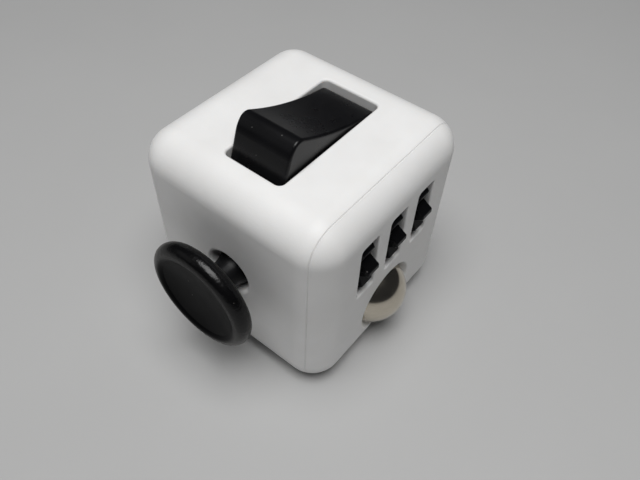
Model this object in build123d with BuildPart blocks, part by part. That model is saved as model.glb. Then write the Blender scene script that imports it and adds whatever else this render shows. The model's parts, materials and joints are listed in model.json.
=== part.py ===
from build123d import *
from math import cos, sin, radians, sqrt
import os

# Fidget cube: a hollow plastic cube with a different finger control on each face.
# Z is up, the origin is the middle of the bottom face, millimetres throughout.
#   +Z  flip    a rocker paddle            -Y  glide   a tilting thumb stick
#   +Y  click   five push buttons          +X  roll    three gears and a steel ball
#   -X  spin    a turning dial             -Z  breathe a shallow thumb dish

os.makedirs("parts", exist_ok=True)

# ---------------------------------------------------------------- driving dimensions
SIDE = 33.0                      # length of every edge of the cube
HALF = SIDE / 2
EDGE_R = 4.8                     # outside rounding of all edges
WALL = 2.0
INNER = HALF - WALL              # from the middle to the inside of a wall
SEAM_X = 13.7                    # where the roll cover meets the five-sided body
SEAM_CHAMFER = 0.12
LIP_END_X = 12.3                 # how far the cover's lip reaches into the body
LIP = 1.15
RUNNING = 0.05                   # radial gap of a turning fit

PEG = (11.6, 1.1, 8.8)           # cover pegs: offset from the middle, radius, inner end
SCREW_R = 0.65
SCREW_HEAD_R = 1.25
SCREW_HEAD_H = 0.8

# flip rocker
FLIP_X, FLIP_Y = 0.4, -0.5       # middle of the rocker's slot
SLOT_X, SLOT_Y, SLOT_R = 9.65, 21.2, 0.9
ROCKER_PIVOT_Z = 29.5
ROCKER_TILT = 18.5
ROCKER_HALF_X, ROCKER_HALF_Y = 4.6, 9.93
ROCKER_BOTTOM, ROCKER_SHOULDER, ROCKER_MIDDLE = -1.0, 2.88, 4.87
ROCKER_BROW_R, ROCKER_NOSE_R = 4.0, 1.5    # upper end face, then the turn onto the top
ROCKER_BROW, ROCKER_RISE = 27.0, 9.0       # degrees the end leans in, and the top slopes
HUB_R = 2.4
ROCKER_PIN_R = 0.9
NOTCH_OUT, NOTCH_R = 2.7, 0.7
CHEEK_IN, CHEEK_OUT, CHEEK_Y = 4.95, 5.9, 5.8
CRADLE_Z, CRADLE_FLOOR_Z = 25.2, 26.2
CRADLE_SCREW = (8.6, 3.3)
TAB_Z, BOSS_Z = 27.9, 29.1
TAB_END_X = 10.4

# glide stick
STICK_Z = 17.0
STICK_PIVOT_Y = -12.2
STICK_BALL_R = 4.0
STICK_BALL_BACK_Y = -9.4
STICK_HOLE_R = 3.5
STEM_R, FLARE_R, FLARE_Y = 2.2, 2.8, -17.8
SPIGOT_R = 1.5
STEM_END_Y, SPIGOT_END_Y = -18.9, -21.0
CAP_R, CAP_RIM_R, CAP_RIM_Y, CAP_MIDDLE_Y = 8.65, 1.4, -21.6, -22.0
RING_IN, RING_OUT, RING_HALF = 4.2, 5.4, 1.2
PIN_R = 0.7
HOUSING_R, HOUSING_IN_R = 7.2, 5.8
HOUSING_SCREW_X = 9.4

# click buttons
BUTTON_PITCH = 6.6
BUTTON_R, BUTTON_HOLE_R = 2.6, 2.72
FLANGE_R = 3.4
BUTTON_TOP_Y = 17.9
FLANGE_Y = 14.4
BUTTON_BACK_Y = 13.3
DOME_R, DOME_H, DOME_T = 2.5, 1.0, 0.15
PLATE_Y, PLATE_T, PLATE_HALF = 12.0, 1.2, 9.3
PLATE_SCREW = 8.4

# roll gears and ball
GEAR_YS = (-6.6, 0.0, 6.6)
GEAR_X, GEAR_Z = 11.5, 21.8
GEAR_TIP_R, GEAR_ROOT_R, GEAR_T = 5.95, 4.6, 2.4
GEAR_TEETH, TOOTH_FOOT, TOOTH_LAND, TOOTH_TIP_R = 10, 3.0, 0.8, 0.3
GEAR_HUB_R, GEAR_HUB_HALF = 1.9, 2.6
GEAR_POCKET_R = 6.12
GEAR_SLOT_W, GEAR_SLOT_Z0, GEAR_SLOT_Z1 = 3.9, 16.6, 26.8
AXLE_R, AXLE_HALF = 1.0, 10.5
POST_YS = (-9.9, -3.3, 3.3, 9.9)
BALL_R, BALL_X, BALL_Z = 5.5, 13.8, 8.3
SEAT_R, SEAT_END_X, MOUTH_R = 5.6, 15.4, 6.0
COLLAR_R, COLLAR_X = 6.25, 8.0
CUP_R, CUP_X0, CUP_X1 = 5.4, 7.5, 9.4
BACK_X0, BACK_X1 = 5.0, 6.2
BACK_SCREW_Y = 7.4

# spin dial
DIAL_R, DIAL_X0, DIAL_X1 = 9.8, -15.65, -18.7
RECESS_R, RECESS_X = 10.1, -15.5
SHAFT_R = 2.0
BOSS_END_X = -10.5
DIMPLE_OFF = 5.2

# rounding of the openings' rims
RIM = 0.3

# breathe dish
DISH_HALF_X, DISH_HALF_Y, DISH_DEPTH = 7.0, 9.5, 1.8


# ---------------------------------------------------------------- planes on the faces
def flip_plane(z):
    return Plane(origin=(0, 0, z), x_dir=(1, 0, 0), z_dir=(0, 0, 1))


def glide_plane(y, z=STICK_Z):
    return Plane(origin=(0, y, z), x_dir=(1, 0, 0), z_dir=(0, -1, 0))


def click_plane(y):
    return Plane(origin=(0, y, HALF), x_dir=(-1, 0, 0), z_dir=(0, 1, 0))


def roll_plane(x, z=HALF):
    return Plane(origin=(x, 0, z), x_dir=(0, 1, 0), z_dir=(1, 0, 0))


def spin_plane(x):
    return Plane(origin=(x, 0, HALF), x_dir=(0, -1, 0), z_dir=(-1, 0, 0))


def gear_plane(y):
    return Plane(origin=(GEAR_X, y, GEAR_Z), x_dir=(1, 0, 0), z_dir=(0, -1, 0))


def cradle_plane(x=0.0):
    return Plane(origin=(FLIP_X + x, FLIP_Y, 0), x_dir=(0, 1, 0), z_dir=(1, 0, 0))


def rocker_plane():
    a = radians(ROCKER_TILT)
    return Plane(origin=(FLIP_X, FLIP_Y, ROCKER_PIVOT_Z), x_dir=(0, cos(a), -sin(a)), z_dir=(1, 0, 0))


def save(part, name):
    part.label = name
    export_step(part, "parts/" + name + ".step")


def write_screws(name, planes, shank):
    """One node of identical screws; each plane's z points from the head to the tip."""
    with BuildPart() as screws:
        for plane in planes:
            with BuildSketch(plane):
                Circle(SCREW_R)
            extrude(amount=shank)
            with BuildSketch(plane):
                Circle(SCREW_HEAD_R)
            extrude(amount=-SCREW_HEAD_H)
            with BuildSketch(plane.offset(-SCREW_HEAD_H)):
                Rectangle(1.5, 0.35)
                Rectangle(0.35, 1.5)
            extrude(amount=0.45, mode=Mode.SUBTRACT)
    save(screws.part, name)


def write_dome(name, plane, radius, height):
    """A thin snap dome standing on the plane, bulging along the plane's z."""
    outer_r = (radius**2 + height**2) / (2 * height)
    inner_r = outer_r - DOME_T
    drop = outer_r - height
    foot = sqrt(inner_r**2 - drop**2)
    mid = radius / 2
    side = Plane(origin=plane.origin, x_dir=plane.x_dir, z_dir=plane.x_dir.cross(plane.z_dir))
    with BuildPart() as dome:
        with BuildSketch(side):
            with BuildLine():
                ThreePointArc((0, height), (mid, sqrt(outer_r**2 - mid**2) - drop), (radius, 0))
                Line((radius, 0), (foot, 0))
                ThreePointArc((foot, 0), (mid, sqrt(inner_r**2 - mid**2) - drop), (0, height - DOME_T))
                Line((0, height - DOME_T), (0, height))
            make_face()
        revolve(axis=Axis(plane.origin, plane.z_dir))
    save(dome.part, name)


# ---------------------------------------------------------------- body and roll cover
with BuildPart() as outside:
    with BuildSketch(Plane.XY):
        Rectangle(SIDE, SIDE)
    extrude(amount=SIDE)
    fillet(outside.edges(), EDGE_R)

# the hollow runs on past the seam, so the body is open on its roll side
with BuildPart() as cavity:
    with BuildSketch(Plane.XY.offset(WALL)):
        with Locations((3.0, 0)):
            Rectangle(2 * INNER + 6.0, 2 * INNER)
    extrude(amount=2 * INNER)
    fillet(cavity.edges(), EDGE_R - WALL)

PEG_SPOTS = [(sy * PEG[0], sz * PEG[0]) for sy in (-1, 1) for sz in (-1, 1)]
CORNER_SPOTS = [(sy * 12.1, sz * 12.1) for sy in (-1, 1) for sz in (-1, 1)]
CRADLE_SPOTS = [(sx * CRADLE_SCREW[0], sy * CRADLE_SCREW[1]) for sx in (-1, 1) for sy in (-1, 1)]
BUTTON_SPOTS = [(0, 0)] + [(sx * BUTTON_PITCH, sz * BUTTON_PITCH) for sz in (1, -1) for sx in (1, -1)]
PLATE_SPOTS = [(PLATE_SCREW, 0), (-PLATE_SCREW, 0), (0, PLATE_SCREW), (0, -PLATE_SCREW)]

with BuildPart() as body_shell:
    add(outside.part)
    add(cavity.part, mode=Mode.SUBTRACT)
    # corner blocks that take the cover's pegs
    with BuildSketch(roll_plane(8.0)):
        with Locations(*CORNER_SPOTS):
            Rectangle(5.0, 5.0)
    extrude(amount=LIP_END_X - 0.1 - 8.0)
    # screw bosses under the flip, glide and click walls
    with BuildSketch(flip_plane(BOSS_Z)):
        with Locations(*CRADLE_SPOTS):
            Circle(1.7)
    extrude(amount=HALF * 2 - WALL / 2 - BOSS_Z)
    with BuildSketch(glide_plane(-12.5)):
        with Locations((HOUSING_SCREW_X, 0), (-HOUSING_SCREW_X, 0)):
            Circle(1.9)
    extrude(amount=3.0)
    with BuildSketch(click_plane(PLATE_Y)):
        with Locations(*PLATE_SPOTS):
            Circle(1.7)
    extrude(amount=3.0)
    # pad and bearing boss behind the spin dial
    with BuildSketch(spin_plane(-13.4)):
        Circle(RECESS_R + 1.2)
    extrude(amount=2.0)
    with BuildSketch(spin_plane(BOSS_END_X)):
        Circle(4.0)
    extrude(amount=4.0)
    # pad over the breathe dish
    with BuildSketch(flip_plane(1.0)):
        Ellipse(DISH_HALF_X + 0.9, DISH_HALF_Y + 0.9)
    extrude(amount=DISH_DEPTH + 0.05)
    # everything beyond the seam belongs to the cover
    with BuildSketch(roll_plane(SEAM_X)):
        Rectangle(SIDE + 2, SIDE + 2)
    extrude(amount=5.0, mode=Mode.SUBTRACT)
    seam = body_shell.faces().sort_by(Axis.X)[-1].outer_wire().edges()
    chamfer(seam, SEAM_CHAMFER)
    # blind holes for pegs and screws
    with BuildSketch(roll_plane(PEG[2] - 0.3)):
        with Locations(*PEG_SPOTS):
            Circle(PEG[1])
    extrude(amount=5.0, mode=Mode.SUBTRACT)
    with BuildSketch(flip_plane(BOSS_Z)):
        with Locations(*CRADLE_SPOTS):
            Circle(SCREW_R)
    extrude(amount=3.1, mode=Mode.SUBTRACT)
    with BuildSketch(glide_plane(-12.5)):
        with Locations((HOUSING_SCREW_X, 0), (-HOUSING_SCREW_X, 0)):
            Circle(SCREW_R)
    extrude(amount=3.1, mode=Mode.SUBTRACT)
    with BuildSketch(click_plane(PLATE_Y)):
        with Locations(*PLATE_SPOTS):
            Circle(SCREW_R)
    extrude(amount=3.4, mode=Mode.SUBTRACT)
    # flip slot, stick hole, button holes, dial recess and bearing
    with BuildSketch(flip_plane(SIDE - 4)):
        with Locations((FLIP_X, FLIP_Y)):
            RectangleRounded(SLOT_X, SLOT_Y, SLOT_R)
    extrude(amount=6.0, mode=Mode.SUBTRACT)
    with BuildSketch(glide_plane(-HALF + 4)):
        Circle(STICK_HOLE_R)
    extrude(amount=6.0, mode=Mode.SUBTRACT)
    with BuildSketch(click_plane(HALF - 4)):
        with Locations(*BUTTON_SPOTS):
            Circle(BUTTON_HOLE_R)
    extrude(amount=6.0, mode=Mode.SUBTRACT)
    with BuildSketch(spin_plane(RECESS_X)):
        Circle(RECESS_R)
    extrude(amount=3.0, mode=Mode.SUBTRACT)
    with BuildSketch(spin_plane(BOSS_END_X + 1)):
        Circle(SHAFT_R + RUNNING)
    extrude(amount=8.0, mode=Mode.SUBTRACT)
    # breathe dish: a shallow oval hollow
    dish_r = (DISH_HALF_X**2 + DISH_DEPTH**2) / (2 * DISH_DEPTH)
    with BuildSketch(Plane.YZ):
        with BuildLine():
            ThreePointArc((-DISH_HALF_Y, 0), (0, DISH_DEPTH), (DISH_HALF_Y, 0))
            Line((DISH_HALF_Y, 0), (DISH_HALF_Y, DISH_DEPTH - dish_r))
            Line((DISH_HALF_Y, DISH_DEPTH - dish_r), (-DISH_HALF_Y, DISH_DEPTH - dish_r))
            Line((-DISH_HALF_Y, DISH_DEPTH - dish_r), (-DISH_HALF_Y, 0))
        make_face()
    revolve(axis=Axis((0, 0, DISH_DEPTH - dish_r), (0, 1, 0)), mode=Mode.SUBTRACT)
    # rounded rims
    flip_face = body_shell.faces().filter_by(Axis.Z).sort_by(Axis.Z)[-1]
    fillet(flip_face.inner_wires().edges(), RIM * 1.3)
    glide_face = body_shell.faces().filter_by(Axis.Y).sort_by(Axis.Y)[0]
    fillet(glide_face.inner_wires().edges(), RIM * 2)
    click_face = body_shell.faces().filter_by(Axis.Y).sort_by(Axis.Y)[-1]
    fillet(click_face.inner_wires().edges(), RIM * 0.7)
    spin_face = body_shell.faces().filter_by(Axis.X).sort_by(Axis.X)[0]
    fillet(spin_face.inner_wires().edges(), RIM)
    breathe_face = body_shell.faces().filter_by(Axis.Z).sort_by(Axis.Z)[0]
    fillet(breathe_face.inner_wires().edges(), RIM * 3)
save(body_shell.part, "body_shell")

with BuildPart() as roll_cover:
    add(outside.part)
    with BuildSketch(roll_plane(SEAM_X)):
        Rectangle(SIDE + 2, SIDE + 2)
    extrude(amount=-SIDE - 2, mode=Mode.SUBTRACT)
    seam = roll_cover.faces().sort_by(Axis.X)[0].outer_wire().edges()
    chamfer(seam, SEAM_CHAMFER)
    # lip that fits inside the body's walls, and four pegs
    with BuildSketch(roll_plane(LIP_END_X)):
        RectangleRounded(2 * INNER - 0.1, 2 * INNER - 0.1, EDGE_R - WALL)
        RectangleRounded(2 * INNER - 0.1 - 2 * LIP, 2 * INNER - 0.1 - 2 * LIP, 1.65, mode=Mode.SUBTRACT)
    extrude(amount=SEAM_X - LIP_END_X + 0.5)
    with BuildSketch(roll_plane(PEG[2])):
        with Locations(*PEG_SPOTS):
            Circle(PEG[1])
    extrude(amount=SEAM_X - PEG[2] + 0.5)
    # bearing posts for the gear axle
    with BuildSketch(roll_plane(9.6, GEAR_Z)):
        with Locations(*[(y, 0) for y in POST_YS]):
            Rectangle(1.2, 4.4)
    extrude(amount=SEAM_X - 9.6 + 0.5)
    # collar round the ball and two posts for the back plate
    with BuildSketch(roll_plane(COLLAR_X, BALL_Z)):
        Circle(COLLAR_R)
    extrude(amount=SEAM_X - COLLAR_X + 0.5)
    with BuildSketch(roll_plane(BACK_X1, BALL_Z)):
        with Locations((BACK_SCREW_Y, 0), (-BACK_SCREW_Y, 0)):
            Circle(1.4)
    extrude(amount=SEAM_X - BACK_X1 + 0.5)
    # ball seat: straight bore, then part of a sphere that keeps the ball in, then a flared mouth
    neck_r = sqrt(SEAT_R**2 - (SEAT_END_X - BALL_X)**2)
    bend = 0.8
    with BuildSketch(Plane(origin=(0, 0, BALL_Z), x_dir=(1, 0, 0), z_dir=(0, 0, 1))):
        with BuildLine():
            Line((BACK_X1 - 1, 0), (BACK_X1 - 1, SEAT_R))
            Line((BACK_X1 - 1, SEAT_R), (BALL_X, SEAT_R))
            ThreePointArc((BALL_X, SEAT_R), (BALL_X + bend, sqrt(SEAT_R**2 - bend**2)),
                          (SEAT_END_X, neck_r))
            Line((SEAT_END_X, neck_r), (HALF + 0.01, MOUTH_R))
            Line((HALF + 0.01, MOUTH_R), (HALF + 3, MOUTH_R))
            Line((HALF + 3, MOUTH_R), (HALF + 3, 0))
            Line((HALF + 3, 0), (BACK_X1 - 1, 0))
        make_face()
    revolve(axis=Axis((0, 0, BALL_Z), (1, 0, 0)), mode=Mode.SUBTRACT)
    # gear slots, with round pockets behind them
    for y in GEAR_YS:
        with BuildSketch(roll_plane(SEAM_X - 1, (GEAR_SLOT_Z0 + GEAR_SLOT_Z1) / 2)):
            with Locations((y, 0)):
                RectangleRounded(GEAR_SLOT_W, GEAR_SLOT_Z1 - GEAR_SLOT_Z0, 0.6)
        extrude(amount=6.0, mode=Mode.SUBTRACT)
        with BuildSketch(gear_plane(y)):
            Circle(GEAR_POCKET_R)
        extrude(amount=GEAR_SLOT_W / 2, both=True, mode=Mode.SUBTRACT)
    # axle bores and back plate screw holes
    with BuildSketch(gear_plane(0)):
        Circle(AXLE_R)
    extrude(amount=AXLE_HALF, both=True, mode=Mode.SUBTRACT)
    with BuildSketch(roll_plane(BACK_X1, BALL_Z)):
        with Locations((BACK_SCREW_Y, 0), (-BACK_SCREW_Y, 0)):
            Circle(SCREW_R)
    extrude(amount=5.0, mode=Mode.SUBTRACT)
    # rounded rims round the slots and the ball
    roll_face = roll_cover.faces().filter_by(Axis.X).sort_by(Axis.X)[-1]
    fillet(roll_face.inner_wires().edges(), RIM * 0.8)
    mouth = roll_cover.faces().filter_by(GeomType.CONE).edges()
    fillet(mouth.filter_by(lambda edge: edge.center().X > 15.9), RIM)
save(roll_cover.part, "roll_cover")

# ---------------------------------------------------------------- flip rocker
with BuildPart() as rocker:
    # half of the side outline: shoulder, brow and nose are the ends of its arcs
    lean, rise = radians(ROCKER_BROW), radians(ROCKER_RISE)
    shoulder = (ROCKER_HALF_Y, ROCKER_SHOULDER)
    brow = (shoulder[0] - ROCKER_BROW_R * (1 - cos(lean)), shoulder[1] + ROCKER_BROW_R * sin(lean))
    nose = (brow[0] - ROCKER_NOSE_R * (cos(lean) + sin(rise)), brow[1] + ROCKER_NOSE_R * (cos(rise) - sin(lean)))
    with BuildSketch(rocker_plane()):
        with BuildLine():
            Line((0, ROCKER_BOTTOM), (ROCKER_HALF_Y, ROCKER_BOTTOM))
            Line((ROCKER_HALF_Y, ROCKER_BOTTOM), shoulder)
            TangentArc(shoulder, brow, tangent=(0, 1))
            TangentArc(brow, nose, tangent=(-sin(lean), cos(lean)))
            ThreePointArc(nose, (0, ROCKER_MIDDLE), (-nose[0], nose[1]))
            TangentArc((-nose[0], nose[1]), (-brow[0], brow[1]), tangent=(-cos(rise), sin(rise)))
            TangentArc((-brow[0], brow[1]), (-shoulder[0], shoulder[1]), tangent=(-sin(lean), -cos(lean)))
            Line((-shoulder[0], shoulder[1]), (-ROCKER_HALF_Y, ROCKER_BOTTOM))
            Line((-ROCKER_HALF_Y, ROCKER_BOTTOM), (0, ROCKER_BOTTOM))
        make_face()
    extrude(amount=ROCKER_HALF_X, both=True)
    # every edge a finger meets is rounded; the flat underside stays sharp
    under = rocker.faces().sort_by(Axis((0, 0, 0), rocker_plane().y_dir))[0]
    flanks = rocker.faces().filter_by(Axis.X).edges()
    fillet(flanks - under.edges(), 0.4)
    # hollow underneath, leaving the middle for the hub
    for side in (-1, 1):
        with BuildSketch(rocker_plane()):
            with Locations((side * 5.9, 1.0)):
                Rectangle(5.6, 5.0)
        extrude(amount=3.3, both=True, mode=Mode.SUBTRACT)
    with BuildSketch(rocker_plane()):
        Circle(HUB_R)
    extrude(amount=ROCKER_HALF_X, both=True)
    # pin bore and the two click notches
    with BuildSketch(rocker_plane()):
        Circle(ROCKER_PIN_R)
        with PolarLocations(NOTCH_OUT, 2, -90 - ROCKER_TILT, 2 * ROCKER_TILT, endpoint=True):
            Circle(NOTCH_R)
    extrude(amount=ROCKER_HALF_X, both=True, mode=Mode.SUBTRACT)
save(rocker.part, "rocker")

with BuildPart() as rocker_pin:
    with BuildSketch(cradle_plane(-CHEEK_OUT)):
        with Locations((0, ROCKER_PIVOT_Z)):
            Circle(ROCKER_PIN_R)
    extrude(amount=2 * CHEEK_OUT)
save(rocker_pin.part, "rocker_pin")

with BuildPart() as rocker_cradle:
    with BuildSketch(cradle_plane()):
        with Locations((0, (CRADLE_Z + 2 * HALF - WALL) / 2)):
            Rectangle(2 * CHEEK_Y, 2 * HALF - WALL - CRADLE_Z)
    extrude(amount=CHEEK_OUT, both=True)
    with BuildSketch(cradle_plane()):
        with Locations((0, (CRADLE_FLOOR_Z + 2 * HALF) / 2)):
            Rectangle(2 * CHEEK_Y + 1, 2 * HALF - CRADLE_FLOOR_Z)
    extrude(amount=CHEEK_IN, both=True, mode=Mode.SUBTRACT)
    # tabs with screw holes
    with BuildSketch(flip_plane(TAB_Z)):
        for side in (-1, 1):
            root_x = FLIP_X + side * (CHEEK_IN + 0.15)
            with Locations(((root_x + side * TAB_END_X) / 2, 0)):
                RectangleRounded(TAB_END_X - side * root_x, 10.4, 0.8)
    extrude(amount=BOSS_Z - TAB_Z)
    with BuildSketch(flip_plane(TAB_Z)):
        with Locations(*CRADLE_SPOTS):
            Circle(SCREW_R + 0.05)
    extrude(amount=BOSS_Z - TAB_Z, mode=Mode.SUBTRACT)
    # pin bores and pockets for the ends of the leaf spring
    with BuildSketch(cradle_plane()):
        with Locations((0, ROCKER_PIVOT_Z)):
            Circle(ROCKER_PIN_R + RUNNING)
    extrude(amount=CHEEK_OUT, both=True, mode=Mode.SUBTRACT)
    with BuildSketch(flip_plane(CRADLE_FLOOR_Z)):
        with Locations((FLIP_X, FLIP_Y + 5.0), (FLIP_X, FLIP_Y - 5.0)):
            Rectangle(10.9, 1.3)
    extrude(amount=0.32, mode=Mode.SUBTRACT)
save(rocker_cradle.part, "rocker_cradle")

with BuildPart() as detent_spring:
    z0 = CRADLE_FLOOR_Z
    ridge_z = ROCKER_PIVOT_Z - NOTCH_OUT
    with BuildSketch(cradle_plane()):
        with BuildLine():
            Line((-5.6, z0), (-5.6, z0 + 0.3))
            Line((-5.6, z0 + 0.3), (-3.5, z0 + 0.3))
            Line((-3.5, z0 + 0.3), (-0.6, ridge_z))
            ThreePointArc((-0.6, ridge_z), (0, ridge_z + 0.6), (0.6, ridge_z))
            Line((0.6, ridge_z), (3.5, z0 + 0.3))
            Line((3.5, z0 + 0.3), (5.6, z0 + 0.3))
            Line((5.6, z0 + 0.3), (5.6, z0))
            Line((5.6, z0), (3.5, z0))
            Line((3.5, z0), (0.3, ridge_z))
            ThreePointArc((0.3, ridge_z), (0, ridge_z + 0.3), (-0.3, ridge_z))
            Line((-0.3, ridge_z), (-3.5, z0))
            Line((-3.5, z0), (-5.6, z0))
        make_face()
    extrude(amount=3.0, both=True)
    with BuildSketch(flip_plane(z0)):
        with Locations((FLIP_X, FLIP_Y + 5.0), (FLIP_X, FLIP_Y - 5.0)):
            Rectangle(10.7, 1.1)
    extrude(amount=0.3)
save(detent_spring.part, "detent_spring")

write_screws("cradle_screws",
             [Plane(origin=(x, y, TAB_Z), x_dir=(1, 0, 0), z_dir=(0, 0, 1)) for x, y in CRADLE_SPOTS], 4.1)

# ---------------------------------------------------------------- glide stick
STICK_AXIS = Axis((0, 0, STICK_Z), (0, 1, 0))
STICK_SIDE = Plane(origin=(0, 0, STICK_Z), x_dir=(1, 0, 0), z_dir=(0, 0, 1))

with BuildPart() as stick_cap:
    rim_x = CAP_R - CAP_RIM_R
    rim_front_y = CAP_RIM_Y - CAP_RIM_R
    dish_x, dish_y = rim_x - 0.85, rim_front_y + 0.34
    sag = CAP_MIDDLE_Y - dish_y
    dish_ball = (dish_x**2 + sag**2) / (2 * sag)
    half_x, flat_x = dish_x / 2, 0.5
    half_y = CAP_MIDDLE_Y - dish_ball + sqrt(dish_ball**2 - half_x**2)
    flat_y = CAP_MIDDLE_Y - dish_ball + sqrt(dish_ball**2 - flat_x**2)
    with BuildSketch(STICK_SIDE):
        with BuildLine():
            Line((0, flat_y), (0, -19.2))
            Line((0, -19.2), (3.0, -19.2))
            Line((3.0, -19.2), (3.6, -19.9))
            Line((3.6, -19.9), (rim_x, CAP_RIM_Y + CAP_RIM_R))
            ThreePointArc((rim_x, CAP_RIM_Y + CAP_RIM_R), (CAP_R, CAP_RIM_Y), (rim_x, rim_front_y))
            ThreePointArc((rim_x, rim_front_y), (rim_x - 0.45, rim_front_y + 0.09), (dish_x, dish_y))
            ThreePointArc((dish_x, dish_y), (half_x, half_y), (flat_x, flat_y))
            Line((flat_x, flat_y), (0, flat_y))
        make_face()
    revolve(axis=STICK_AXIS)
    with BuildSketch(glide_plane(-19.0)):
        Circle(SPIGOT_R)
    extrude(amount=-19.0 - SPIGOT_END_Y, mode=Mode.SUBTRACT)
save(stick_cap.part, "stick_cap")

with BuildPart() as stick:
    reach = sqrt(STICK_BALL_R**2 - (STICK_BALL_BACK_Y - STICK_PIVOT_Y)**2)
    front = STICK_PIVOT_Y - sqrt(STICK_BALL_R**2 - FLARE_R**2)
    with BuildSketch(STICK_SIDE):
        with BuildLine():
            Line((0, STICK_BALL_BACK_Y + 1.8), (0, SPIGOT_END_Y))
            Line((0, SPIGOT_END_Y), (SPIGOT_R, SPIGOT_END_Y))
            Line((SPIGOT_R, SPIGOT_END_Y), (SPIGOT_R, STEM_END_Y - 0.3))
            Line((SPIGOT_R, STEM_END_Y - 0.3), (STEM_R, STEM_END_Y - 0.3))
            Line((STEM_R, STEM_END_Y - 0.3), (STEM_R, FLARE_Y))
            TangentArc((STEM_R, FLARE_Y), (FLARE_R, front), tangent=(0, 1))
            ThreePointArc((FLARE_R, front), (STICK_BALL_R, STICK_PIVOT_Y), (reach, STICK_BALL_BACK_Y))
            Line((reach, STICK_BALL_BACK_Y), (1.2, STICK_BALL_BACK_Y))
            Line((1.2, STICK_BALL_BACK_Y), (1.2, STICK_BALL_BACK_Y + 1.8))
            Line((1.2, STICK_BALL_BACK_Y + 1.8), (0, STICK_BALL_BACK_Y + 1.8))
        make_face()
    revolve(axis=STICK_AXIS)
    with BuildSketch(Plane(origin=(0, STICK_PIVOT_Y, STICK_Z), x_dir=(0, 1, 0), z_dir=(1, 0, 0))):
        Circle(PIN_R)
    extrude(amount=STICK_BALL_R + 1, both=True, mode=Mode.SUBTRACT)
save(stick.part, "stick")

with BuildPart() as cross_pin:
    with BuildSketch(Plane(origin=(0, STICK_PIVOT_Y, STICK_Z), x_dir=(0, 1, 0), z_dir=(1, 0, 0))):
        Circle(PIN_R)
    extrude(amount=RING_OUT - 0.1, both=True)
save(cross_pin.part, "cross_pin")

with BuildPart() as gimbal_ring:
    with BuildSketch(glide_plane(STICK_PIVOT_Y)):
        Circle(RING_OUT)
        Circle(RING_IN, mode=Mode.SUBTRACT)
    extrude(amount=RING_HALF, both=True)
    with BuildSketch(Plane(origin=(0, STICK_PIVOT_Y, STICK_Z), x_dir=(0, 1, 0), z_dir=(1, 0, 0))):
        Circle(PIN_R + RUNNING)
    extrude(amount=RING_OUT + 1, both=True, mode=Mode.SUBTRACT)
    with BuildSketch(Plane(origin=(0, STICK_PIVOT_Y, STICK_Z), x_dir=(1, 0, 0), z_dir=(0, 0, 1))):
        Circle(PIN_R)
    extrude(amount=RING_OUT + 1, both=True, mode=Mode.SUBTRACT)
save(gimbal_ring.part, "gimbal_ring")

with BuildPart() as gimbal_pins:
    for side in (-1, 1):
        with BuildSketch(Plane(origin=(0, STICK_PIVOT_Y, STICK_Z + side * (RING_IN + 0.15)),
                               x_dir=(1, 0, 0), z_dir=(0, 0, side))):
            Circle(PIN_R)
        extrude(amount=HOUSING_R - 0.2 - RING_IN - 0.15)
save(gimbal_pins.part, "gimbal_pins")

with BuildPart() as stick_housing:
    with BuildSketch(STICK_SIDE):
        with BuildLine():
            Polyline((0, -4.8), (4.4, -4.8), (4.4, -8.7), (HOUSING_R, -8.7), (HOUSING_R, -14.5),
                     (HOUSING_IN_R, -14.5), (HOUSING_IN_R, -9.7), (3.4, -9.7), (3.4, -5.8),
                     (0, -5.8), close=True)
        make_face()
    revolve(axis=STICK_AXIS)
    with BuildSketch(glide_plane(-11.3)):
        with Locations((HOUSING_SCREW_X - 1.0, 0), (1.0 - HOUSING_SCREW_X, 0)):
            RectangleRounded(5.8, 4.0, 1.2)
        Circle(HOUSING_IN_R + 0.1, mode=Mode.SUBTRACT)
    extrude(amount=1.2)
    with BuildSketch(glide_plane(-11.3)):
        with Locations((HOUSING_SCREW_X, 0), (-HOUSING_SCREW_X, 0)):
            Circle(SCREW_R + 0.05)
    extrude(amount=1.2, mode=Mode.SUBTRACT)
    with BuildSketch(Plane(origin=(0, STICK_PIVOT_Y, STICK_Z), x_dir=(1, 0, 0), z_dir=(0, 0, 1))):
        Circle(PIN_R + RUNNING)
    extrude(amount=HOUSING_R + 1, both=True, mode=Mode.SUBTRACT)
save(stick_housing.part, "stick_housing")

with BuildPart() as centring_spring:
    wire = 0.25
    start_y = STICK_BALL_BACK_Y + wire + 0.02
    length = -5.8 - wire - 0.02 - start_y
    with BuildLine() as coil:
        Helix(pitch=length / 4, height=length, radius=2.35, center=(0, start_y, STICK_Z),
              direction=(0, 1, 0))
    with BuildSketch(Plane(origin=coil.line @ 0, z_dir=coil.line % 0)):
        Circle(wire)
    sweep(path=coil.line, is_frenet=True)
save(centring_spring.part, "centring_spring")

write_screws("housing_screws",
             [Plane(origin=(s * HOUSING_SCREW_X, -11.3, STICK_Z), x_dir=(1, 0, 0), z_dir=(0, -1, 0))
              for s in (-1, 1)], 4.2)

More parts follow.
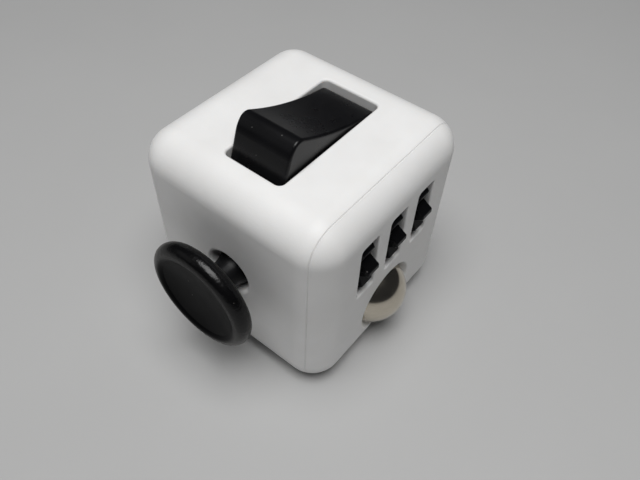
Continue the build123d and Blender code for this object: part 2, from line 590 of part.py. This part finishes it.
# ---------------------------------------------------------------- click buttons
for number, (across, up_) in enumerate(BUTTON_SPOTS, start=1):
    base = click_plane(0)
    centre = base.origin + base.x_dir * across + base.y_dir * up_
    top_ball = (2.35**2 + 0.85**2) / (2 * 0.85)
    top_mid = BUTTON_TOP_Y - top_ball + sqrt(top_ball**2 - 1.4**2)
    top_flat = BUTTON_TOP_Y - top_ball + sqrt(top_ball**2 - 0.15**2)
    side = Plane(origin=(centre.X, 0, centre.Z), x_dir=(1, 0, 0), z_dir=(0, 0, 1))
    with BuildPart() as button:
        with BuildSketch(side):
            with BuildLine():
                Line((0, BUTTON_BACK_Y - 0.3), (0, top_flat))
                Line((0, top_flat), (0.15, top_flat))
                ThreePointArc((0.15, top_flat), (1.4, top_mid), (BUTTON_R - 0.25, BUTTON_TOP_Y - 0.85))
                Line((BUTTON_R - 0.25, BUTTON_TOP_Y - 0.85), (BUTTON_R, BUTTON_TOP_Y - 1.2))
                Line((BUTTON_R, BUTTON_TOP_Y - 1.2), (BUTTON_R, FLANGE_Y))
                Line((BUTTON_R, FLANGE_Y), (FLANGE_R, FLANGE_Y))
                Line((FLANGE_R, FLANGE_Y), (FLANGE_R, BUTTON_BACK_Y + 0.3))
                Line((FLANGE_R, BUTTON_BACK_Y + 0.3), (1.0, BUTTON_BACK_Y + 0.3))
                Line((1.0, BUTTON_BACK_Y + 0.3), (1.0, BUTTON_BACK_Y - 0.3))
                Line((1.0, BUTTON_BACK_Y - 0.3), (0, BUTTON_BACK_Y - 0.3))
            make_face()
        revolve(axis=Axis((centre.X, 0, centre.Z), (0, 1, 0)))
    save(button.part, "button_" + str(number))
    kind = "click_dome_" if number in (1, 2, 5) else "quiet_dome_"
    write_dome(kind + str(number),
               Plane(origin=(centre.X, PLATE_Y, centre.Z), x_dir=(1, 0, 0), z_dir=(0, 1, 0)),
               DOME_R, DOME_H)

with BuildPart() as button_plate:
    with BuildSketch(click_plane(PLATE_Y - PLATE_T)):
        RectangleRounded(2 * PLATE_HALF, 2 * PLATE_HALF, 2.0)
        with Locations(*PLATE_SPOTS):
            RectangleRounded(3.8, 3.8, 1.0)
        with Locations(*PLATE_SPOTS):
            Circle(SCREW_R + 0.05, mode=Mode.SUBTRACT)
    extrude(amount=PLATE_T)
save(button_plate.part, "button_plate")

write_screws("plate_screws",
             [Plane(origin=(-a, PLATE_Y - PLATE_T, HALF + b), x_dir=(1, 0, 0), z_dir=(0, 1, 0))
              for a, b in PLATE_SPOTS], 4.3)

# ---------------------------------------------------------------- roll gears and ball
for number, y in enumerate(GEAR_YS, start=1):
    with BuildPart() as gear:
        with BuildSketch(gear_plane(y)):
            Circle(GEAR_ROOT_R)
            with PolarLocations(0, GEAR_TEETH, start_angle=2.0):
                Polygon((GEAR_ROOT_R - 0.3, -TOOTH_FOOT / 2), (GEAR_TIP_R, -TOOTH_LAND / 2),
                        (GEAR_TIP_R, TOOTH_LAND / 2), (GEAR_ROOT_R - 0.3, TOOTH_FOOT / 2), align=None)
        extrude(amount=GEAR_T / 2, both=True)
        across = gear.edges().filter_by(Axis.Y)
        axle = Vector(GEAR_X, y, GEAR_Z)
        tips = across.filter_by(lambda edge: (edge.center() - axle).length > GEAR_TIP_R - 0.1)
        fillet(tips, TOOTH_TIP_R)
        flats = gear.faces().filter_by(Axis.Y).edges()
        chamfer(flats, 0.15)
        # hub that spaces the gear between its two posts
        with BuildSketch(gear_plane(y)):
            Circle(GEAR_HUB_R)
        extrude(amount=GEAR_HUB_HALF, both=True)
        with BuildSketch(gear_plane(y)):
            Circle(AXLE_R + RUNNING)
        extrude(amount=GEAR_HUB_HALF, both=True, mode=Mode.SUBTRACT)
    save(gear.part, "gear_" + str(number))

with BuildPart() as gear_axle:
    with BuildSketch(gear_plane(0)):
        Circle(AXLE_R)
    extrude(amount=AXLE_HALF, both=True)
save(gear_axle.part, "gear_axle")

BALL_SIDE = Plane(origin=(0, 0, BALL_Z), x_dir=(1, 0, 0), z_dir=(0, 0, 1))
BALL_AXIS = Axis((0, 0, BALL_Z), (1, 0, 0))

with BuildPart() as ball:
    with BuildSketch(BALL_SIDE):
        with BuildLine():
            ThreePointArc((BALL_X, -BALL_R), (BALL_X - BALL_R, 0), (BALL_X, BALL_R))
            Line((BALL_X, BALL_R), (BALL_X, -BALL_R))
        make_face()
    revolve(axis=Axis((BALL_X, 0, BALL_Z), (0, 1, 0)))
save(ball.part, "ball")

with BuildPart() as ball_cup:
    cup_ball = BALL_R + RUNNING
    lip_r = sqrt(cup_ball**2 - (BALL_X - CUP_X1)**2)
    with BuildSketch(BALL_SIDE):
        with BuildLine():
            Line((CUP_X0 - 0.3, 0), (CUP_X0 - 0.3, 1.0))
            Line((CUP_X0 - 0.3, 1.0), (CUP_X0, 1.0))
            Line((CUP_X0, 1.0), (CUP_X0, CUP_R))
            Line((CUP_X0, CUP_R), (CUP_X1, CUP_R))
            Line((CUP_X1, CUP_R), (CUP_X1, lip_r))
            ThreePointArc((CUP_X1, lip_r), (BALL_X - sqrt(cup_ball**2 - 4), 2), (BALL_X - cup_ball, 0))
            Line((BALL_X - cup_ball, 0), (CUP_X0 - 0.3, 0))
        make_face()
    revolve(axis=BALL_AXIS)
save(ball_cup.part, "ball_cup")

write_dome("ball_dome",
           Plane(origin=(BACK_X1, 0, BALL_Z), x_dir=(0, 1, 0), z_dir=(1, 0, 0)), DOME_R, DOME_H)

with BuildPart() as back_plate:
    with BuildSketch(roll_plane(BACK_X0, BALL_Z)):
        RectangleRounded(17.6, 8.0, 1.4)
        with Locations((BACK_SCREW_Y, 0), (-BACK_SCREW_Y, 0)):
            Circle(SCREW_R + 0.05, mode=Mode.SUBTRACT)
    extrude(amount=BACK_X1 - BACK_X0)
save(back_plate.part, "back_plate")

write_screws("back_plate_screws",
             [Plane(origin=(BACK_X0, s * BACK_SCREW_Y, BALL_Z), x_dir=(0, 1, 0), z_dir=(1, 0, 0))
              for s in (-1, 1)], 5.5)

# ---------------------------------------------------------------- spin dial
SPIN_AXIS = Axis((0, 0, HALF), (1, 0, 0))
SPIN_SIDE = Plane(origin=(0, 0, HALF), x_dir=(1, 0, 0), z_dir=(0, 0, 1))

with BuildPart() as dial:
    with BuildSketch(SPIN_SIDE):
        with BuildLine():
            Line((BOSS_END_X - 0.1, 0), (DIAL_X1, 0))
            Line((DIAL_X1, 0), (DIAL_X1, DIAL_R - 1.2))
            RadiusArc((DIAL_X1, DIAL_R - 1.2), (DIAL_X1 + 1.2, DIAL_R), 1.2)
            Line((DIAL_X1 + 1.2, DIAL_R), (DIAL_X0, DIAL_R))
            Line((DIAL_X0, DIAL_R), (DIAL_X0, 4.2))
            Line((DIAL_X0, 4.2), (DIAL_X0 - 0.8, 4.2))
            Line((DIAL_X0 - 0.8, 4.2), (DIAL_X0 - 0.8, SHAFT_R))
            Line((DIAL_X0 - 0.8, SHAFT_R), (BOSS_END_X - 0.1, SHAFT_R))
            Line((BOSS_END_X - 0.1, SHAFT_R), (BOSS_END_X - 0.1, 0))
        make_face()
    revolve(axis=SPIN_AXIS)
    with BuildSketch(spin_plane(BOSS_END_X - 0.1)):
        Circle(SCREW_R)
    extrude(amount=5.0, mode=Mode.SUBTRACT)
    # finger dimple, off centre
    dimple = 9.0
    dimple_x = DIAL_X1 + 1.0 - dimple
    with BuildSketch(Plane(origin=(0, 0, HALF + DIMPLE_OFF), x_dir=(1, 0, 0), z_dir=(0, 0, 1))):
        with BuildLine():
            ThreePointArc((dimple_x, -dimple), (dimple_x - dimple, 0), (dimple_x, dimple))
            Line((dimple_x, dimple), (dimple_x, -dimple))
        make_face()
    revolve(axis=Axis((dimple_x, 0, HALF + DIMPLE_OFF), (0, 1, 0)), mode=Mode.SUBTRACT)
save(dial.part, "dial")

# conical spring washer between the recess floor and the dial's hollow back
with BuildPart() as cone_washer:
    top_x = DIAL_X0 - 0.8 + 0.02
    with BuildSketch(SPIN_SIDE):
        with BuildLine():
            Polyline((RECESS_X, 3.9), (RECESS_X - 0.25, 3.9), (top_x, 2.3), (top_x + 0.25, 2.3), close=True)
        make_face()
    revolve(axis=SPIN_AXIS)
save(cone_washer.part, "cone_washer")

with BuildPart() as retaining_washer:
    with BuildSketch(spin_plane(BOSS_END_X + 0.8)):
        Circle(3.4)
        Circle(SCREW_R + 0.05, mode=Mode.SUBTRACT)
    extrude(amount=0.7)
save(retaining_washer.part, "retaining_washer")

write_screws("dial_screw",
             [Plane(origin=(BOSS_END_X + 0.8, 0, HALF), x_dir=(0, 1, 0), z_dir=(-1, 0, 0))], 5.2)
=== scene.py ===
import math
import json
import bpy
import bmesh
from mathutils import Matrix, Vector


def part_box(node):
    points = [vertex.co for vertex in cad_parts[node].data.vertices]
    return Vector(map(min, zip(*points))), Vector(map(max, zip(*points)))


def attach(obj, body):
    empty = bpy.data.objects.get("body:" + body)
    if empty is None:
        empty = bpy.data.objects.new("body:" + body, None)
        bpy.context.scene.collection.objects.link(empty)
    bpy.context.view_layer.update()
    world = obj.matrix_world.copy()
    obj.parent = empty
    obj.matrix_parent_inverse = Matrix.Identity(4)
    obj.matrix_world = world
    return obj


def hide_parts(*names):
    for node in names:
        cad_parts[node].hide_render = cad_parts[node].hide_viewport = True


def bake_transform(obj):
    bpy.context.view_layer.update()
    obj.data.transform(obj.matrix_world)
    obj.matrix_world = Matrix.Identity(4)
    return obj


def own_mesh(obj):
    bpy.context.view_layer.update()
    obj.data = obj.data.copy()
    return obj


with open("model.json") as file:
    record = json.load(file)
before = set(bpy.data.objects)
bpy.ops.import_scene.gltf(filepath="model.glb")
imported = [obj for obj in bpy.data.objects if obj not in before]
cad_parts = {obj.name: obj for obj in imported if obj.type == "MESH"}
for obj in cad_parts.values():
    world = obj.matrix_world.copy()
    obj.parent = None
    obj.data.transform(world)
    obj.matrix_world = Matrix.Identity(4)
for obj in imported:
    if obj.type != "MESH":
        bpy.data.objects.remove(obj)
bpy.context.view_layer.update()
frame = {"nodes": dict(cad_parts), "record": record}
nodes = frame["nodes"]
MM = 0.001


# ------------------------------------------------------------------ material tools
def new_material(name):
    mat = bpy.data.materials.new(name)
    mat.use_nodes = True
    tree = mat.node_tree
    tree.nodes.clear()
    out = tree.nodes.new("ShaderNodeOutputMaterial")
    shader = tree.nodes.new("ShaderNodeBsdfPrincipled")
    tree.links.new(shader.outputs["BSDF"], out.inputs["Surface"])
    return mat, tree, shader


def position(tree):
    return tree.nodes.new("ShaderNodeTexCoord").outputs["Object"]


def noise(tree, where, scale, detail=2.0, rough=0.5):
    node = tree.nodes.new("ShaderNodeTexNoise")
    node.inputs["Scale"].default_value = scale
    node.inputs["Detail"].default_value = detail
    node.inputs["Roughness"].default_value = rough
    tree.links.new(where, node.inputs["Vector"])
    return node.outputs["Fac"]


def spread(tree, value, lo, hi, out_lo, out_hi):
    node = tree.nodes.new("ShaderNodeMapRange")
    node.inputs["From Min"].default_value = lo
    node.inputs["From Max"].default_value = hi
    node.inputs["To Min"].default_value = out_lo
    node.inputs["To Max"].default_value = out_hi
    tree.links.new(value, node.inputs["Value"])
    return node.outputs["Result"]


def blend_colours(tree, factor, dark, light):
    node = tree.nodes.new("ShaderNodeMix")
    node.data_type = "RGBA"
    node.inputs["A"].default_value = (*dark, 1)
    node.inputs["B"].default_value = (*light, 1)
    tree.links.new(factor, node.inputs["Factor"])
    return node.outputs["Result"]


def multiply(tree, colour, factor):
    node = tree.nodes.new("ShaderNodeMix")
    node.data_type = "RGBA"
    node.blend_type = "MULTIPLY"
    node.inputs["Factor"].default_value = 1.0
    tree.links.new(colour, node.inputs["A"])
    tree.links.new(factor, node.inputs["B"])
    return node.outputs["Result"]


def maths(tree, kind, a, b):
    node = tree.nodes.new("ShaderNodeMath")
    node.operation = kind
    for socket, value in zip(node.inputs, (a, b)):
        if isinstance(value, (int, float)):
            socket.default_value = value
        else:
            tree.links.new(value, socket)
    return node.outputs[0]


def bump(tree, shader, height, distance, strength=1.0, under=None):
    node = tree.nodes.new("ShaderNodeBump")
    node.inputs["Distance"].default_value = distance
    node.inputs["Strength"].default_value = strength
    tree.links.new(height, node.inputs["Height"])
    if under is not None:
        tree.links.new(under, node.inputs["Normal"])
    tree.links.new(node.outputs["Normal"], shader.inputs["Normal"])
    return node.outputs["Normal"]


def crevice(tree, reach):
    """1 in the open, falling towards 0 in gaps and corners."""
    node = tree.nodes.new("ShaderNodeAmbientOcclusion")
    node.samples = 8
    node.inputs["Distance"].default_value = reach
    return node.outputs["AO"]


def specks(tree, where, scale, size):
    """Sparse round dots: 1 in a dot, 0 elsewhere; one cell in four has a dot."""
    cells = tree.nodes.new("ShaderNodeTexVoronoi")
    cells.inputs["Scale"].default_value = scale
    tree.links.new(where, cells.inputs["Vector"])
    near = spread(tree, cells.outputs["Distance"], size * 0.6, size, 1.0, 0.0)
    pick = tree.nodes.new("ShaderNodeSeparateColor")
    tree.links.new(cells.outputs["Color"], pick.inputs["Color"])
    keep = spread(tree, pick.outputs["Red"], 0.74, 0.76, 0.0, 1.0)
    return maths(tree, "MULTIPLY", near, keep)


# ------------------------------------------------------------------ materials
def white_plastic(name):
    mat, tree, shader = new_material(name)
    where = position(tree)
    tone = noise(tree, where, 90, 3, 0.6)
    patches = spread(tree, tone, 0.35, 0.65, 0, 1)
    colour = blend_colours(tree, patches, (0.775, 0.77, 0.76), (0.815, 0.812, 0.805))
    # painted shade: the colour darkens to grey in gaps, corners and hollows where shade falls
    open_air = spread(tree, crevice(tree, 0.35 * MM), 0.2, 0.75, 0.0, 1.0)
    painted_shade = blend_colours(tree, open_air, (0.78, 0.76, 0.74), (1.0, 1.0, 1.0))
    tree.links.new(multiply(tree, colour, painted_shade), shader.inputs["Base Color"])
    smudge = noise(tree, where, 160, 4, 0.65)
    tree.links.new(spread(tree, smudge, 0.3, 0.7, 0.44, 0.56), shader.inputs["Roughness"])
    grain = noise(tree, where, 5200, 2, 0.55)
    waves = noise(tree, where, 260, 1, 0.4)
    soft = bump(tree, shader, waves, 0.02 * MM, 0.25)
    bump(tree, shader, grain, 0.022 * MM, 0.6, soft)
    shader.inputs["Specular IOR Level"].default_value = 0.42
    shader.inputs["Subsurface Weight"].default_value = 0.12
    shader.inputs["Subsurface Radius"].default_value = (0.9, 0.8, 0.7)
    shader.inputs["Subsurface Scale"].default_value = 0.6 * MM
    return mat


def black_plastic(name, rough=(0.25, 0.33), grain_scale=2600, grain=0.004,
                  tint=(0.0030, 0.0030, 0.0035), dust=0.5, gloss=0.25, area=None, stretch=None):
    """Satin black plastic. area masks the grain; stretch draws it out into ridges along one axis."""
    mat, tree, shader = new_material(name)
    where = position(tree)
    tone = noise(tree, where, 140, 3, 0.6)
    light = tuple(c * 1.7 for c in tint)
    colour = blend_colours(tree, spread(tree, tone, 0.3, 0.7, 0, 1), tint, light)
    dots = maths(tree, "MULTIPLY", specks(tree, where, 700, 0.085), dust)
    dusty = tree.nodes.new("ShaderNodeMix")
    dusty.data_type = "RGBA"
    tree.links.new(dots, dusty.inputs["Factor"])
    tree.links.new(colour, dusty.inputs["A"])
    dusty.inputs["B"].default_value = (0.34, 0.33, 0.31, 1)
    tree.links.new(dusty.outputs["Result"], shader.inputs["Base Color"])
    rub = noise(tree, where, 210, 4, 0.6)
    tree.links.new(spread(tree, rub, 0.3, 0.7, *rough), shader.inputs["Roughness"])
    spot = where
    if stretch is not None:
        mapping = tree.nodes.new("ShaderNodeMapping")
        mapping.inputs["Scale"].default_value = stretch
        tree.links.new(where, mapping.inputs["Vector"])
        spot = mapping.outputs["Vector"]
    fine = noise(tree, spot, grain_scale, 2, 0.6)
    if area is not None:
        mask = area(tree, where)
        fine = maths(tree, "MULTIPLY", fine, mask)
        tree.links.new(maths(tree, "MULTIPLY", mask, 0.5), shader.inputs["Coat Weight"])
        shader.inputs["Coat Roughness"].default_value = 0.23
        shader.inputs["Coat Tint"].default_value = (1.0, 0.96, 0.90, 1)
    grain_normal = bump(tree, shader, fine, grain * MM, 0.8)
    if area is not None:
        tree.links.new(grain_normal, shader.inputs["Coat Normal"])
    shader.inputs["Specular IOR Level"].default_value = gloss
    return mat


STICK_Z = 17.0 * MM                       # height of the stick's axis
CAP_RIM_FADE = (6.9 * MM, 7.5 * MM)       # where the cap's dish ends and its rounded rim begins


def cap_rim(tree, where):
    """1 on the stick cap's rounded rim, 0 in its dish: by distance from the stick's axis."""
    split = tree.nodes.new("ShaderNodeSeparateXYZ")
    tree.links.new(where, split.inputs["Vector"])
    high = maths(tree, "SUBTRACT", split.outputs["Z"], STICK_Z)
    side_square = maths(tree, "POWER", split.outputs["X"], 2.0)
    high_square = maths(tree, "POWER", high, 2.0)
    distance = maths(tree, "SQRT", maths(tree, "ADD", side_square, high_square), 0.0)
    return spread(tree, distance, *CAP_RIM_FADE, 0.0, 1.0)


def steel(name, colour, rough, scratch=0.4):
    mat, tree, shader = new_material(name)
    where = position(tree)
    stretch = tree.nodes.new("ShaderNodeMapping")
    stretch.inputs["Scale"].default_value = (900, 900, 9000)
    tree.links.new(where, stretch.inputs["Vector"])
    lines = noise(tree, stretch.outputs["Vector"], 1.0, 3, 0.6)
    dark = tuple(c * 0.82 for c in colour)
    brushed = blend_colours(tree, spread(tree, lines, 0.3, 0.7, 0, 1), dark, colour)
    tree.links.new(brushed, shader.inputs["Base Color"])
    shader.inputs["Metallic"].default_value = 1.0
    cloud = noise(tree, where, 300, 3, 0.6)
    worn = spread(tree, cloud, 0.3, 0.7, rough * 0.8, rough * 1.25)
    tree.links.new(worn, shader.inputs["Roughness"])
    bump(tree, shader, lines, 0.004 * MM, scratch)
    return mat


def silicone(name):
    mat, tree, shader = new_material(name)
    where = position(tree)
    tone = noise(tree, where, 300, 3, 0.6)
    colour = blend_colours(tree, tone, (0.30, 0.30, 0.30), (0.40, 0.40, 0.39))
    tree.links.new(colour, shader.inputs["Base Color"])
    shader.inputs["Roughness"].default_value = 0.62
    bump(tree, shader, noise(tree, where, 3000, 2, 0.5), 0.01 * MM, 0.5)
    return mat


MATERIALS = {
    "white_shell": white_plastic("white_shell"),
    "black_control": black_plastic("black_control"),
    "black_inner": black_plastic("black_inner", rough=(0.3, 0.42), dust=0.2),
    # painted reflection: the ball's warm beige tint stands in for beige surroundings it mirrors, not
    # the steel's own colour
    "polished_ball": steel("polished_ball", (0.62, 0.57, 0.48), 0.15, 0.12),
    "steel": steel("steel", (0.56, 0.56, 0.55), 0.26),
    "screw_steel": steel("screw_steel", (0.46, 0.46, 0.46), 0.32),
    "soft_dome": silicone("soft_dome"),
}
CAP = black_plastic("black_cap", rough=(0.34, 0.44), grain_scale=2100, grain=0.05,
                    tint=(0.0016, 0.0016, 0.0019), dust=0.25, gloss=0.03, area=cap_rim)
GEAR = black_plastic("black_gear", rough=(0.24, 0.36), grain_scale=1.0, grain=0.022,
                     tint=(0.0026, 0.0026, 0.0030), dust=0.3, gloss=0.10, stretch=(3600, 400, 3600))
OWN = {"stick_cap": CAP, "gear_1": GEAR, "gear_2": GEAR, "gear_3": GEAR}

slots = {s["node"]: s["material_slot"] for s in frame["record"]["subparts"]}
for name, obj in nodes.items():
    mat = OWN.get(name, MATERIALS[slots[name]])
    obj.data.materials.clear()
    obj.data.materials.append(mat)


# ------------------------------------------------------------------ springs: domes under the buttons and the ball, coil behind the stick
DOME_THICK = 0.15 * MM
DOME_RINGS, DOME_SIDES = 8, 40
COIL_TURNS, COIL_STEPS, WIRE_SIDES = 4, 32, 12
COIL_WIRE = 0.25 * MM
COIL_PLAY = 0.4 * MM                          # room before the coil for the stick's other tilt


def rings_to_piece(name, rings, node):
    """A closed skin over rings of points, standing for a CAD node; a ring may be one point."""
    bm = bmesh.new()
    rows = [[bm.verts.new(p) for p in ring] for ring in rings]
    for near, far in zip(rows, rows[1:]):
        count = max(len(near), len(far))
        for i in range(count):
            j = (i + 1) % count
            if len(near) == 1:
                bm.faces.new((near[0], far[i], far[j]))
            elif len(far) == 1:
                bm.faces.new((near[i], near[j], far[0]))
            else:
                bm.faces.new((near[i], near[j], far[j], far[i]))
    bmesh.ops.recalc_face_normals(bm, faces=bm.faces)
    for face in bm.faces:
        face.smooth = True
    data = bpy.data.meshes.new(name)
    bm.to_mesh(data)
    bm.free()
    piece = bpy.data.objects.new(name, data)
    bpy.context.scene.collection.objects.link(piece)
    data.materials.append(MATERIALS[slots[node]])
    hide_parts(node)
    return piece


def circle(centre, across, up, radius, count):
    turns = [2 * math.pi * i / count for i in range(count)]
    return [centre + (across * math.cos(t) + up * math.sin(t)) * radius for t in turns]


def snap_dome(node, along):
    """A thin domed disc on the cube body."""
    lo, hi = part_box(node)
    along = Vector(along)
    across = Vector((0, 0, 1))
    up = along.cross(across)
    height, radius = (hi - lo).dot(along), max(hi - lo) / 2
    foot = (lo + hi) / 2 - along * height / 2
    outer = (radius**2 + height**2) / (2 * height)
    inner = outer - DOME_THICK
    middle = foot + along * (height - outer)
    outer_edge, inner_edge = math.asin(radius / outer), math.acos((outer - height) / inner)
    skins = []
    for ball, edge in ((outer, outer_edge), (inner, inner_edge)):
        rings = [[middle + along * ball]]
        for i in range(1, DOME_RINGS + 1):
            lean = edge * i / DOME_RINGS
            centre = middle + along * ball * math.cos(lean)
            rings.append(circle(centre, across, up, ball * math.sin(lean), DOME_SIDES))
        skins.append(rings)
    piece = rings_to_piece(node + "_disc", skins[0] + skins[1][::-1], node)
    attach(piece, "cube")
    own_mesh(piece)


for number in range(1, 6):
    kind = "click_dome_" if number in (1, 2, 5) else "quiet_dome_"
    snap_dome(kind + str(number), (0, 1, 0))
snap_dome("ball_dome", (1, 0, 0))


def stick_coil():
    """The coil behind the stick, from the ring at its front to the cup at its back."""
    lo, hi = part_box("centring_spring")
    centre = (lo + hi) / 2
    radius = (hi.x - lo.x) / 2 - COIL_WIRE
    front, back = lo.y + COIL_WIRE + COIL_PLAY, hi.y - COIL_WIRE
    steps = COIL_TURNS * COIL_STEPS
    rings = []
    for i in range(steps + 1):
        turn = 2 * math.pi * COIL_TURNS * i / steps
        out = Vector((math.cos(turn), 0, math.sin(turn)))
        at = Vector((centre.x, front + (back - front) * i / steps, centre.z)) + out * radius
        rings.append(circle(at, out, Vector((0, 1, 0)), COIL_WIRE, WIRE_SIDES))
    first = [sum(rings[0], Vector()) / WIRE_SIDES]
    last = [sum(rings[-1], Vector()) / WIRE_SIDES]
    rings = [first] + rings + [last]
    piece = rings_to_piece("centring_coil", rings, "centring_spring")
    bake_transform(piece)


stick_coil()


# ------------------------------------------------------------------ floor, lights, camera
def floor_material():
    mat, tree, shader = new_material("floor")
    where = position(tree)
    tone = noise(tree, where, 30, 4, 0.6)
    colour = blend_colours(tree, tone, (0.44, 0.44, 0.437), (0.465, 0.465, 0.462))
    tree.links.new(colour, shader.inputs["Base Color"])
    shader.inputs["Roughness"].default_value = 0.85
    return mat


mesh = bpy.data.meshes.new("floor")
bm = bmesh.new()
bmesh.ops.create_grid(bm, x_segments=8, y_segments=8, size=1.2)
bm.to_mesh(mesh)
bm.free()
floor = bpy.data.objects.new("floor", mesh)
floor.location.z = -0.02 * MM
mesh.materials.append(floor_material())
bpy.context.scene.collection.objects.link(floor)


CUBE_MIDDLE = Vector((0, 0, 16.5 * MM))


def area_light(name, at, size, power):
    data = bpy.data.lights.new(name, "AREA")
    data.shape = "ELLIPSE"
    data.size, data.size_y = size
    data.energy = power
    obj = bpy.data.objects.new(name, data)
    obj.location = Vector(at)
    obj.rotation_euler = (CUBE_MIDDLE - Vector(at)).to_track_quat("-Z", "Y").to_euler()
    bpy.context.scene.collection.objects.link(obj)


area_light("key", (0.045, -0.06, 0.41), (0.30, 0.30), 1.74)
area_light("fill", (-0.30, -0.26, 0.26), (0.4, 0.3), 0.07)

world = bpy.data.worlds.new("studio")
bpy.context.scene.world = world
world.use_nodes = True
background = world.node_tree.nodes["Background"]
background.inputs["Color"].default_value = (0.9, 0.93, 1.0, 1)
background.inputs["Strength"].default_value = 0.03

bpy.context.scene.view_settings.view_transform = "Standard"

# the camera: turned round the cube's middle, then up, then rolled, then shifted in its own plane
azimuth, elevation, roll = math.radians(36.2), math.radians(49.6), math.radians(3.0)
SHIFT_RIGHT, SHIFT_UP, DISTANCE = 2.584 * MM, -4.831 * MM, 95.37 * MM
flat = math.cos(elevation)
back = Vector((math.sin(azimuth) * flat, -math.cos(azimuth) * flat, math.sin(elevation)))
right = Vector((math.cos(azimuth), math.sin(azimuth), 0))
up = back.cross(right)
cam_x = right * math.cos(roll) + up * math.sin(roll)
cam_y = up * math.cos(roll) - right * math.sin(roll)
eye = CUBE_MIDDLE + cam_x * SHIFT_RIGHT + cam_y * SHIFT_UP + back * DISTANCE
camera_data = bpy.data.cameras.new("camera")
camera_data.sensor_width = 36
camera_data.lens = 34.7
camera_data.clip_start = 0.005
camera = bpy.data.objects.new("camera", camera_data)
camera.matrix_world = Matrix((
    (cam_x.x, cam_y.x, back.x, eye.x),
    (cam_x.y, cam_y.y, back.y, eye.y),
    (cam_x.z, cam_y.z, back.z, eye.z),
    (0, 0, 0, 1),
))
bpy.context.scene.collection.objects.link(camera)
bpy.context.scene.camera = camera

bpy.context.view_layer.update()
